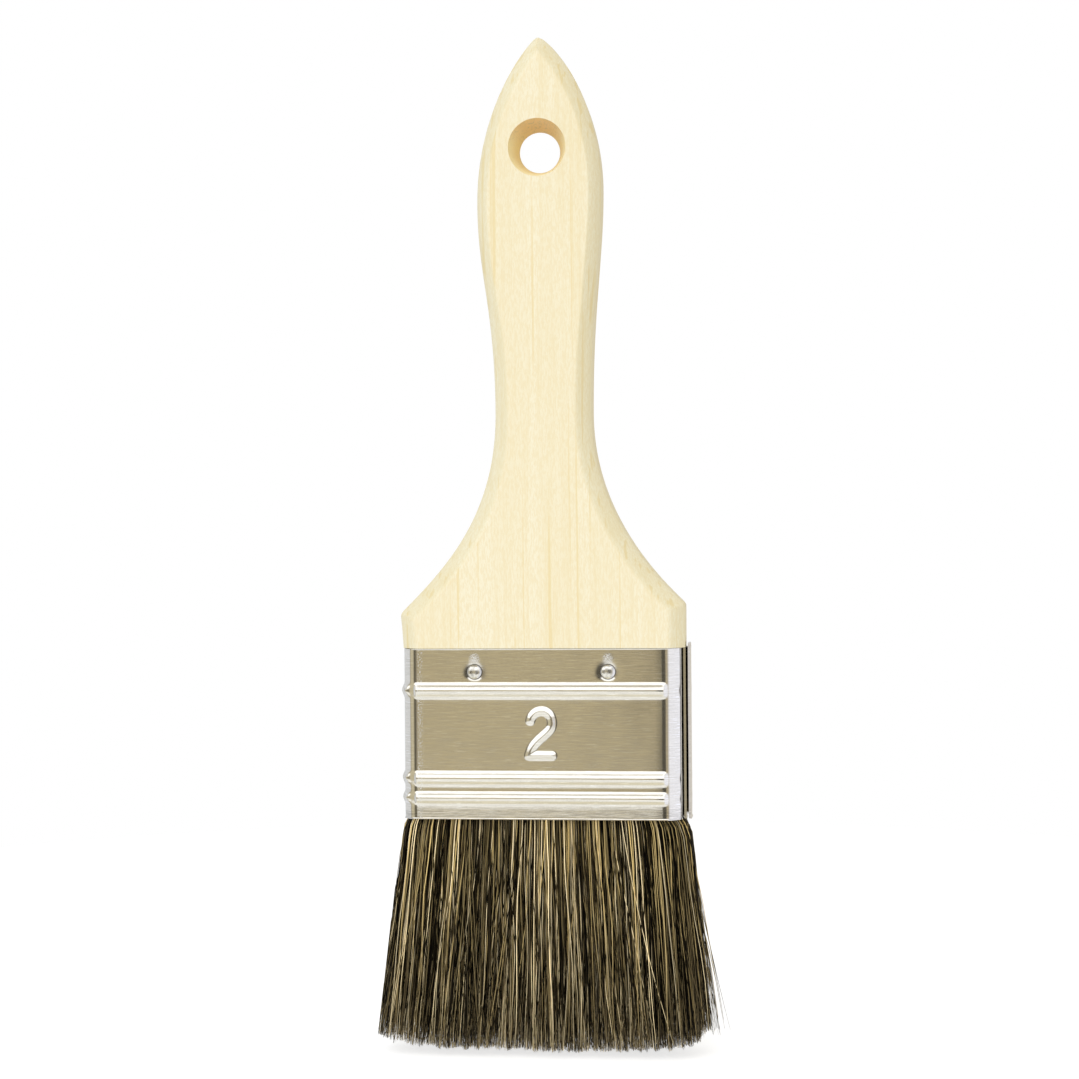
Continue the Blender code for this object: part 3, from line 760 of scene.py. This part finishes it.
def build_ferrule(material):
    """The bent strip with beads, numeral, nail dimples and hooked seam."""
    columns = strip_columns()
    rows = ferrule_rows()
    x, y, side_x, side_y, way_x, way_y, share, rise = (columns[:, k] for k in range(8))
    step = np.hypot(np.diff(x), np.diff(y))
    along = np.concatenate([[0.0], np.cumsum(step)])
    grid_z, grid_x = np.meshgrid(rows, x, indexing="ij")
    grid_along = np.broadcast_to(along, grid_z.shape)

    push = np.zeros_like(grid_z)
    for middle, half_width, bead_rise in BEADS:
        push += bead_rise * bump_profile(np.abs(grid_z - middle) / half_width)
    push *= share[None, :]
    on_front = (np.abs(way_y + 1.0) < 1e-6) & (share > 0.99)
    on_back = (np.abs(way_y - 1.0) < 1e-6) & (share > 0.99)
    push += np.where(on_front[None, :], front_relief(grid_x, grid_z), 0.0)
    push += np.where(on_back[None, :], nail_dimples(grid_x, grid_z), 0.0)
    push += sheet_waves(grid_along, grid_z)
    above_mouth = grid_z - MOUTH
    push -= MOUTH_PINCH[0] * np.clip(1.0 - above_mouth / MOUTH_PINCH[1], 0.0, 1.0)
    push += MOUTH_LIP[0] * np.clip(1.0 - above_mouth / MOUTH_LIP[1], 0.0, 1.0) ** 2
    push += TOP_LIP[0] * np.clip(1.0 - (FERRULE_TOP - grid_z) / TOP_LIP[1], 0.0, 1.0) ** 2

    top_share = np.clip((grid_z - (FERRULE_TOP - 2 * MM)) / (2 * MM), 0.0, 1.0)
    height = grid_z + rise[None, :] * top_share
    surfaces = []
    for sign in (1.0, -1.0):
        sx = x[None, :] + way_x[None, :] * push + sign * side_x[None, :] * SHEET / 2
        sy = y[None, :] + way_y[None, :] * push + sign * side_y[None, :] * SHEET / 2
        surfaces.append(np.stack([sx, sy, height], axis=-1))
    row_count, column_count = grid_z.shape
    vertices = np.concatenate([surface.reshape(-1, 3) for surface in surfaces])
    index = np.arange(row_count * column_count).reshape(row_count, column_count)
    other = index + row_count * column_count

    joined = (
        (index[:, :-1], index[:, 1:]),
        (other.T[:, :-1], other.T[:, 1:]),
        (index[0], other[0]),
        (other[-1], index[-1]),
        (other[:, 0], index[:, 0]),
        (index[:, -1], other[:, -1]),
    )
    quads = [np.stack([a[:-1], a[1:], b[1:], b[:-1]], axis=-1).reshape(-1, 4) for a, b in joined]
    ferrule = make_piece("steel_ferrule", vertices, np.concatenate(quads), material)
    face_outward(ferrule)
    ferrule.data.set_sharp_from_angle(angle=SHARP_ANGLE)
    spots = np.stack([grid_along, grid_z], -1).reshape(-1, 2)
    add_uv_map(ferrule, "strip", np.concatenate([spots, spots]))
    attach(ferrule, ROOT_BODY)
    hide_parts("ferrule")


# ---------------- nails

NAIL_HEAD_RADIUS = 1.38 * MM
NAIL_HEAD_RISE = 0.74 * MM
NAIL_RIM = 0.12 * MM  # the head's thickness at its rim
NAIL_SHANK_RADIUS = 0.6 * MM
NAIL_LENGTH = 3.8 * MM
NAIL_DISH = (0.02, 0.05)  # how deep the hammer dished each head, in millimetres
NAIL_TILT, NAIL_LEAN = 6, 5  # degrees off square at most, up or down and sideways


def build_nails(material):
    """Domed nail heads, each a little differently struck, with their shanks."""
    rng = np.random.default_rng(SEED)
    head, shank = NAIL_HEAD_RADIUS, NAIL_SHANK_RADIUS
    under = FERRULE_HALF_THICKNESS - DIMPLE_DEPTH + 0.05 * MM
    for face_name, facing in (("front", -1.0), ("back", 1.0)):
        for side_name, x in (("left", -NAIL_X), ("right", NAIL_X)):
            dish = rng.uniform(*NAIL_DISH) * MM
            profile = [(0.02 * MM, -NAIL_LENGTH), (shank, -2.6 * MM), (shank, -0.05 * MM)]
            profile += [(head * 0.93, 0.0), (head, NAIL_RIM)]
            for angle in quarter_turn(12)[1:]:
                radius = head * math.cos(angle)
                bulge = NAIL_RIM + (NAIL_HEAD_RISE - NAIL_RIM) * math.sin(angle)
                hollow = dish * (1 + math.cos(math.pi * min(1.0, radius / (0.85 * head)))) / 2
                profile.append((max(radius, 0.01 * MM), bulge - hollow))
            nail = make_piece(f"driven_nail_{face_name}_{side_name}", *turned(profile, 48), material)
            tilt = Matrix.Rotation(math.radians(rng.uniform(-NAIL_TILT, NAIL_TILT)), 4, "X")
            lean = Matrix.Rotation(math.radians(rng.uniform(-NAIL_LEAN, NAIL_LEAN)), 4, "Z")
            turn = Matrix.Rotation(math.pi, 4, "Z") if facing < 0 else Matrix.Identity(4)
            place = Matrix.Translation((x, facing * under, NAIL_HEIGHT))
            nail.data.transform(place @ turn @ lean @ tilt)
            face_outward(nail)
            nail.data.set_sharp_from_angle(angle=math.radians(60))
            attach(nail, ROOT_BODY)
            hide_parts(f"nail_{face_name}_{side_name}")


# ---------------- bristles

HAIR_COUNT = 9000
HAIR_SIDES = 4
HAIR_STEPS = np.array(  # the shares of a hair's length, from its root, at which it is drawn
    [0.0, 0.232, 0.25, 0.275, 0.32, 0.40, 0.50, 0.61, 0.72, 0.83, 0.92, 1.0]
)
ROOT_HEIGHT = epoxy_low.z - 0.4 * MM
MOUTH_HALF_WIDTH = FERRULE_HALF_WIDTH - SHEET - 0.1 * MM
MOUTH_HALF_THICKNESS = FERRULE_HALF_THICKNESS - SHEET - 0.1 * MM
TIP_HALF_WIDTH = 29.0 * MM
TIP_HALF_THICKNESS = -row_low.y - 0.3 * MM
MOUTH_FLARE = (0.75 * MM, 1.55 * MM)  # how far the outermost hairs swell at once, left and right
FLARE_HEIGHT = 0.9 * MM
LOOSE_SHARE = 0.14  # of the outermost hairs, those that stand away from the bundle
LOOSE_REACH = (1.1 * MM, 2.3 * MM)  # how far out their tips are at most, left and right
TIP_NARROWING = 1.6 * MM  # how much the rest close in again toward the tips, on the right
TIP_LIFT = -0.25 * MM
TIP_SAG = 0.7 * MM  # how much higher than the middle the tips near the sides end
TIP_CORNER_RISE = (1.2 * MM, 2.8 * MM)  # and the outermost ones besides, left and right
TIP_TUFT_WIDTH = 0.5 * MM  # tips this far apart across the brush end at unequal heights
TIP_TUFT_RISE = 0.9 * MM
TIP_FACE_RISE = 1.3 * MM  # the outermost hairs at the front and back end this much higher
PLUG_HALF_WIDTH = 22.6 * MM
PLUG_HALF_THICKNESS = 1.1 * MM
CLUMP_SIZE = 1.0 * MM
CLUMP_PULL = 0.35  # how far toward a clump's middle its hairs close in

# How the hairs differ, with sizes in millimetres: normal spreads, shares of the hairs, and ranges
LEAN_SPREAD = (1.1, 0.5)  # of the tips, across the brush and through it
CROSSING_SHARE, CROSSING_SPREAD = 0.22, 3.9
WAVE_SIZES, WAVE_COUNTS = (0.05, 0.36), (0.6, 1.7)
STRAY_SHARE, STRAY_REACH, USUAL_REACH = 0.02, (0.5, 2.0), 0.2  # how far past the bundle's sides
SHORT_SHARE, SHORT_BY, TIP_SPREAD = 0.16, (0.5, 6.0), 0.55
HAIR_RADII = (0.046, 0.108)
TAPER_PLACES, TAPER = (0.0, 0.5, 0.85, 1.0), (1.0, 0.95, 0.65, 0.28)

PALE_PATCHES = ((2.5 * MM, 11.0 * MM), (-9.5 * MM, 4.5 * MM))  # each one's middle and half width
DARK_SIDE = (15.0 * MM, 8.0 * MM)  # where the right side begins to darken, and over what width

TONES = (  # name, share, colour near the root, colour at the tip, gloss, strength of the gloss
    ("black", 0.33, (0.0035, 0.0026, 0.0012), (0.003, 0.0024, 0.0012), 0.34, 0.05),
    ("umber", 0.20, (0.032, 0.024, 0.011), (0.022, 0.017, 0.009), 0.36, 0.09),
    ("olive", 0.18, (0.215, 0.169, 0.080), (0.096, 0.075, 0.039), 0.40, 0.18),
    ("golden", 0.17, (0.605, 0.472, 0.215), (0.310, 0.243, 0.122), 0.40, 0.22),
    ("blond", 0.12, (1.0, 0.855, 0.560), (0.800, 0.680, 0.435), 0.42, 0.22),
)


def scatter_roots(rng, count):
    """Points inside the ferrule's rounded inner outline, none where the plug is."""
    points = []
    while len(points) < count:
        x = rng.uniform(-MOUTH_HALF_WIDTH, MOUTH_HALF_WIDTH)
        y = rng.uniform(-MOUTH_HALF_THICKNESS, MOUTH_HALF_THICKNESS)
        radius = (FRONT_RIGHT_RADIUS if x > 0 > y else FERRULE_CORNER_RADIUS) - SHEET
        over_x = max(0.0, abs(x) - (MOUTH_HALF_WIDTH - radius))
        over_y = max(0.0, abs(y) - (MOUTH_HALF_THICKNESS - radius))
        in_plug = abs(y) < PLUG_HALF_THICKNESS and abs(x) < PLUG_HALF_WIDTH
        if math.hypot(over_x, over_y) <= radius and not in_plug:
            points.append((x, y))
    return np.array(points)


def pull_to_clumps(rng, points):
    """Offsets that draw points toward the middles of a jittered grid, and each point's clump."""
    cells = np.floor(points / CLUMP_SIZE).astype(int)
    cells -= cells.min(axis=0)
    shape = cells.max(axis=0) + 1
    middles = rng.uniform(0.25, 0.75, (*shape, 2)) * CLUMP_SIZE
    corner = np.floor(points.min(axis=0) / CLUMP_SIZE) * CLUMP_SIZE
    number = cells[:, 0] * shape[1] + cells[:, 1]
    target = corner + cells * CLUMP_SIZE + middles[cells[:, 0], cells[:, 1]]
    return (target - points) * CLUMP_PULL, number


def hair_paths(rng, roots):
    """Middle points and radii of every hair from its root in the resin to its tip, and its clump."""
    count = len(roots)
    lean_x = rng.normal(0.0, LEAN_SPREAD[0], count) * MM
    crossing = rng.random(count) < CROSSING_SHARE
    lean_x += np.where(crossing, rng.normal(0.0, CROSSING_SPREAD, count), 0.0) * MM
    lean_y = rng.normal(0.0, LEAN_SPREAD[1], count) * MM
    wave_size = rng.uniform(*WAVE_SIZES, count) * MM
    wave_phase = rng.uniform(0.0, 2 * math.pi, count)
    wave_count = rng.uniform(*WAVE_COUNTS, count)
    straying = rng.random(count) < STRAY_SHARE
    stray = np.where(straying, rng.uniform(*STRAY_REACH, count), USUAL_REACH) * MM
    pull, clump = pull_to_clumps(rng, roots)
    on_left = roots[:, 0] < 0
    outward = np.abs(roots[:, :1]) / MOUTH_HALF_WIDTH
    loose_rng = np.random.default_rng(SEED + 2)
    loose = (outward[:, 0] > 0.94) & (loose_rng.random(count) < LOOSE_SHARE)
    reach = np.where(on_left, -LOOSE_REACH[0], LOOSE_REACH[1]) * loose_rng.uniform(0.1, 1.0, count)
    closing = np.where(on_left, 0.0, -TIP_NARROWING) * outward[:, 0] ** 5
    shift = np.where(loose, reach, closing)

    def sideways(height):
        """x and y of every hair at the heights of its middle points."""
        below = np.clip((MOUTH - height) / MOUTH, 0.0, 1.0)
        width = MOUTH_HALF_WIDTH + (TIP_HALF_WIDTH - MOUTH_HALF_WIDTH) * below
        depth = MOUTH_HALF_THICKNESS + (TIP_HALF_THICKNESS - MOUTH_HALF_THICKNESS) * below
        swelling = 1.0 - np.exp(-below * MOUTH / FLARE_HEIGHT)
        left_flare, right_flare = MOUTH_FLARE
        flare = np.where(roots[:, :1] < 0, -left_flare, right_flare)
        x = roots[:, :1] * width / MOUTH_HALF_WIDTH + pull[:, :1] * below**2
        x += flare * swelling * outward**5
        y = roots[:, 1:] * depth / MOUTH_HALF_THICKNESS + pull[:, 1:] * below**2
        x += lean_x[:, None] * below**1.4
        y += lean_y[:, None] * below**1.4
        ripple = np.sin(wave_phase[:, None] + wave_count[:, None] * 2 * math.pi * below)
        ripple -= np.sin(wave_phase)[:, None]
        x += wave_size[:, None] * ripple * np.minimum(1.0, below * 4)
        allowed = width + stray[:, None] * below
        x = np.clip(x, -allowed - left_flare * swelling, allowed + right_flare * swelling)
        x += shift[:, None] * below**1.5
        limit_y = depth + 0.3 * MM * below
        return x, np.clip(y, -limit_y, limit_y)

    tip_x, tip_y = (values[:, 0] for values in sideways(np.zeros((count, 1))))
    across = np.minimum(1.0, np.abs(tip_x) / TIP_HALF_WIDTH)
    through = np.minimum(1.0, np.abs(tip_y) / TIP_HALF_THICKNESS)
    tip_height = TIP_LIFT + TIP_SAG * across**2
    tip_height += np.where(tip_x < 0, *TIP_CORNER_RISE) * across**12
    tip_height += TIP_FACE_RISE * through**1.6
    tufts = np.arange(-1.2 * TIP_HALF_WIDTH, 1.2 * TIP_HALF_WIDTH, TIP_TUFT_WIDTH)
    tip_height += np.interp(tip_x, tufts, loose_rng.uniform(0.0, TIP_TUFT_RISE, len(tufts)))
    tip_height += np.abs(rng.normal(0.0, TIP_SPREAD, count)) * MM
    short = rng.random(count) < SHORT_SHARE
    tip_height += np.where(short, rng.uniform(*SHORT_BY, count), 0.0) * MM

    height = ROOT_HEIGHT + (tip_height - ROOT_HEIGHT)[:, None] * HAIR_STEPS[None, :]
    x, y = sideways(height)
    thick = rng.uniform(*HAIR_RADII, count) * MM
    taper = np.interp(HAIR_STEPS, TAPER_PLACES, TAPER)
    radius = thick[:, None] * taper[None, :]
    return np.stack([x, y, height], axis=-1), radius, clump


def choose_tones(rng, roots, clump):
    """A tone for every hair: paler in some clumps and round the middle."""
    own = rng.random(len(roots))
    shared = rng.random(clump.max() + 1)[clump]
    middle = -np.clip((roots[:, 0] - DARK_SIDE[0]) / DARK_SIDE[1], 0.0, 1.0)
    for centre, half_width in PALE_PATCHES:
        middle += np.exp(-(((roots[:, 0] - centre) / half_width) ** 2))
    score = 0.88 * own + 0.06 * shared + 0.06 * middle
    rank = np.argsort(np.argsort(score)) / len(score)
    bounds = np.cumsum([share for _, share, *_ in TONES])
    return np.searchsorted(bounds / bounds[-1], rank, side="right").clip(0, len(TONES) - 1)


def hair_mesh(name, paths, radii, seeds, material):
    """One mesh of closed tapered tubes."""
    count, rings, _ = paths.shape
    turn = seeds[:, None] * 40.0 + np.arange(HAIR_SIDES)[None, :] * 2 * math.pi / HAIR_SIDES
    offset = np.stack([np.cos(turn), np.sin(turn), np.zeros_like(turn)], axis=-1)
    points = paths[:, :, None, :] + radii[:, :, None, None] * offset[:, None, :, :]
    vertices = points.reshape(-1, 3)
    ring = (np.arange(count) * rings * HAIR_SIDES)[:, None, None]
    ring = ring + (np.arange(rings - 1) * HAIR_SIDES)[None, :, None]
    side = np.arange(HAIR_SIDES)[None, None, :]
    after = (side + 1) % HAIR_SIDES
    corners = [ring + side, ring + HAIR_SIDES + side, ring + HAIR_SIDES + after, ring + after]
    quads = np.stack(corners, axis=-1).reshape(-1, 4)
    around = np.arange(HAIR_SIDES)
    start = np.arange(count)[:, None] * rings * HAIR_SIDES
    root_caps = start + around[None, :]
    tip_caps = start + (rings - 1) * HAIR_SIDES + around[None, ::-1]
    hairs = make_piece(name, vertices, np.concatenate([quads, root_caps, tip_caps]), material)
    spots = np.empty((count, rings, HAIR_SIDES, 2))
    spots[..., 0] = seeds[:, None, None]
    spots[..., 1] = HAIR_STEPS[None, :, None]
    add_uv_map(hairs, "hair", spots.reshape(-1, 2))
    return hairs


def build_bristles():
    """All hairs, sorted by tone and by half, each group one piece."""
    rng = np.random.default_rng(SEED + 1)
    roots = scatter_roots(rng, HAIR_COUNT)
    paths, radii, clump = hair_paths(rng, roots)
    paths[..., 2] = np.maximum(paths[..., 2], 0.02 * MM)
    seeds = rng.random(HAIR_COUNT)
    tone = choose_tones(rng, roots, clump)
    for number, (tone_name, _, root, tip, gloss, strength) in enumerate(TONES):
        material = make_bristle(f"bristle_{tone_name}", root, tip, gloss, strength)
        for half_name, chosen in (("front", roots[:, 1] < 0), ("back", roots[:, 1] >= 0)):
            pick = (tone == number) & chosen
            name = f"bristles_{half_name}_{tone_name}"
            piece = hair_mesh(name, paths[pick], radii[pick], seeds[pick], material)
            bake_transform(piece)
            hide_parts(f"bristle_row_{half_name}", f"bristle_butts_{half_name}")


# ---------------- stage

VIEW_DISTANCE = 0.37
VIEW_AZIMUTH = 6.0
VIEW_ROLL = 0.44  # degrees by which the brush leans to the left in the view
VIEW_FIELD = 0.1933  # width of the view at the brush
VIEW_AIM = Vector((-0.63 * MM, 0.0, 91.42 * MM))
LIGHT_AIM = Vector((0.0, 0.0, 90.0 * MM))
FLOOR_RADIUS = 0.30
FLOOR_COLOUR = (0.45, 0.45, 0.45)
FLOOR_GLOW = 0.72


def build_camera():
    """A level view of the front from slightly to the right, with the whole brush in it."""
    data = bpy.data.cameras.new("camera")
    data.sensor_width = 36.0
    data.lens = data.sensor_width * VIEW_DISTANCE / VIEW_FIELD
    data.clip_start = 0.01
    camera = add_object("camera", data)
    azimuth = math.radians(VIEW_AZIMUTH)
    away = Vector((math.sin(azimuth), -math.cos(azimuth), 0.0))
    look = (-away).to_track_quat("-Z", "Y").to_matrix().to_4x4()
    roll = Matrix.Rotation(-math.radians(VIEW_ROLL), 4, "Z")
    camera.matrix_world = Matrix.Translation(VIEW_AIM + away * VIEW_DISTANCE) @ look @ roll
    bpy.context.scene.camera = camera


def build_floor():
    """A plain pale floor under the bristle tips."""
    material, tree, shader = start_material("pale_floor")
    surface = {"Base Color": opaque(FLOOR_COLOUR), "Roughness": 0.9, "Specular IOR Level": 0.1}
    glow = {"Emission Color": opaque((1.0, 1.0, 1.0)), "Emission Strength": FLOOR_GLOW}
    set_inputs(tree, shader, surface | glow)
    builder = bmesh.new()
    bmesh.ops.create_circle(builder, cap_ends=True, segments=96, radius=FLOOR_RADIUS)
    floor = built_piece("floor", builder, material)
    floor.location = (0, 0, -0.1 * MM)
    floor.visible_glossy = False


def add_light(name, azimuth, elevation, distance, size, watts):
    """A soft square white light that faces the middle of the brush."""
    data = bpy.data.lights.new(name, "AREA")
    data.size = size
    data.energy = watts
    light = add_object(name, data)
    across, up = math.radians(azimuth), math.radians(elevation)
    away = Vector((math.sin(across), -math.cos(across), 0.0)) * math.cos(up)
    away.z = math.sin(up)
    light.location = LIGHT_AIM + away * distance
    light.rotation_mode = "QUATERNION"
    light.rotation_quaternion = (-away).to_track_quat("-Z", "Y")
    light.visible_glossy = False


STUDIO_AROUND = (  # degrees to the right of straight in front of the brush, colour
    (-180, (0.74, 0.76, 0.79)),
    (-73, (0.76, 0.78, 0.81)),
    (-70, (0.38, 0.34, 0.27)),
    (-67, (0.42, 0.38, 0.29)),
    (-62, (0.62, 0.56, 0.40)),
    (-45, (0.62, 0.56, 0.40)),
    (-38, (0.28, 0.25, 0.18)),
    (-33, (0.11, 0.10, 0.07)),
    (-26, (0.14, 0.125, 0.09)),
    (-21, (0.29, 0.25, 0.175)),
    (-15, (0.37, 0.32, 0.22)),
    (-10, (0.52, 0.445, 0.28)),
    (-4.4, (0.535, 0.46, 0.29)),
    (-3.3, (0.515, 0.44, 0.28)),
    (-2.4, (0.43, 0.37, 0.24)),
    (-1.2, (0.31, 0.27, 0.18)),
    (-0.2, (0.09, 0.08, 0.06)),
    (2, (0.095, 0.086, 0.066)),
    (17, (0.095, 0.086, 0.066)),
    (21, (0.30, 0.26, 0.19)),
    (24, (0.62, 0.54, 0.37)),
    (29, (0.38, 0.32, 0.22)),
    (32, (0.50, 0.44, 0.34)),
    (38, (0.88, 0.88, 0.92)),
    (42, (0.99, 1.01, 1.10)),
    (110, (0.99, 1.01, 1.12)),
    (135, (0.90, 0.89, 0.92)),
    (155, (0.68, 0.64, 0.57)),
    (180, (0.66, 0.62, 0.55)),
)
LAMPS = (1.45, 1.45, 1.44)
CEILING = (0.52, 0.46, 0.34)
LOW_RIM = (1.02, 1.02, 0.98)
GROUND = (0.84, 0.79, 0.62)
SKY = (1.0, 1.0, 1.0)
WARM_SKY = (0.90, 0.84, 0.71)  # the light from the right
SKY_STRENGTH = 0.79


def studio_ramp(tree, azimuth):
    """The colour that polished metal sees all round at its own height."""
    around = maths(tree, "ADD", maths(tree, "DIVIDE", azimuth, 2 * math.pi), 0.5)
    ramp = add_node(tree, "ShaderNodeValToRGB", {0: around})
    elements = ramp.color_ramp.elements
    elements.remove(elements[-1])
    for number, (degrees, colour) in enumerate(STUDIO_AROUND):
        element = elements.new(degrees / 360 + 0.5) if number else elements[0]
        element.color = (*colour, 1.0)
    return ramp.outputs[0]


def background(tree, colour, strength):
    """A Background node's result."""
    inputs = {"Color": colour, "Strength": strength}
    return add_node(tree, "ShaderNodeBackground", inputs).outputs[0]


def build_world():
    """White surroundings. Polished metal sees a studio: a dim front, dark flags and bright sides."""
    world = bpy.data.worlds.new("studio")
    bpy.context.scene.world = world
    world.use_nodes = True
    tree = world.node_tree
    tree.nodes.clear()
    x, y, z = split(tree, add_node(tree, "ShaderNodeTexCoord").outputs["Generated"])
    azimuth = maths(tree, "ARCTAN2", x, maths(tree, "MULTIPLY", y, -1.0))
    around = studio_ramp(tree, azimuth)
    ahead = [remap(tree, azimuth, *ends) for ends in ((-0.40, -0.30), (0.0, -0.04))]
    near_rim = maths(tree, "MULTIPLY", remap(tree, z, -0.145, -0.18), maths(tree, "MULTIPLY", *ahead))
    low_rim = maths(tree, "MAXIMUM", near_rim, remap(tree, z, -0.24, -0.28))
    sides = [remap(tree, azimuth, *ends) for ends in ((0.55, 0.68), (-0.95, -1.15))]
    studio = around
    for mask, colour in (
        (remap(tree, z, 0.12, 0.18), LAMPS),
        (remap(tree, z, 0.645, 0.675), CEILING),
        (low_rim, LOW_RIM),
        (remap(tree, z, -0.72, -0.80), GROUND),
        (maths(tree, "MAXIMUM", *sides), around),
    ):
        studio = blend_colours(tree, mask, studio, colour)

    warmth = blend_colours(tree, remap(tree, x, -0.1, 0.5), SKY, WARM_SKY)
    rays = add_node(tree, "ShaderNodeLightPath").outputs
    shown = background(tree, warmth, SKY_STRENGTH)
    for ray, colour in (("Is Glossy Ray", studio), ("Is Camera Ray", opaque(SKY))):
        inputs = {0: rays[ray], 1: shown, 2: background(tree, colour, 1.0)}
        shown = add_node(tree, "ShaderNodeMixShader", inputs).outputs[0]
    add_node(tree, "ShaderNodeOutputWorld", {"Surface": shown})


def build_stage():
    """Floor, lights, surroundings and camera."""
    build_camera()
    build_floor()
    build_world()
    add_light("key", azimuth=-14, elevation=50, distance=0.9, size=0.7, watts=3.75)
    bpy.context.scene.view_settings.view_transform = "Standard"


# ---------------- the brush


def dress_inner_pieces():
    """Materials for the pieces inside the ferrule."""
    resin = make_plain_noise("cured_resin", (0.35, 0.20, 0.08), 0.3, (600, 600, 600), 0.05 * MM)
    plug_wood = make_plain_noise("plug_wood", (0.62, 0.45, 0.25), 0.8, (1500, 1500, 60), 0.05 * MM)
    for node_name, material in (("epoxy_set", resin), ("spacer_plug", plug_wood)):
        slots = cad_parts[node_name].material_slots
        slots[0].material = material


def main():
    build_handle(make_wood())
    build_ferrule(make_tinplate())
    build_nails(make_nail_steel())
    build_bristles()
    dress_inner_pieces()
    build_stage()


main()
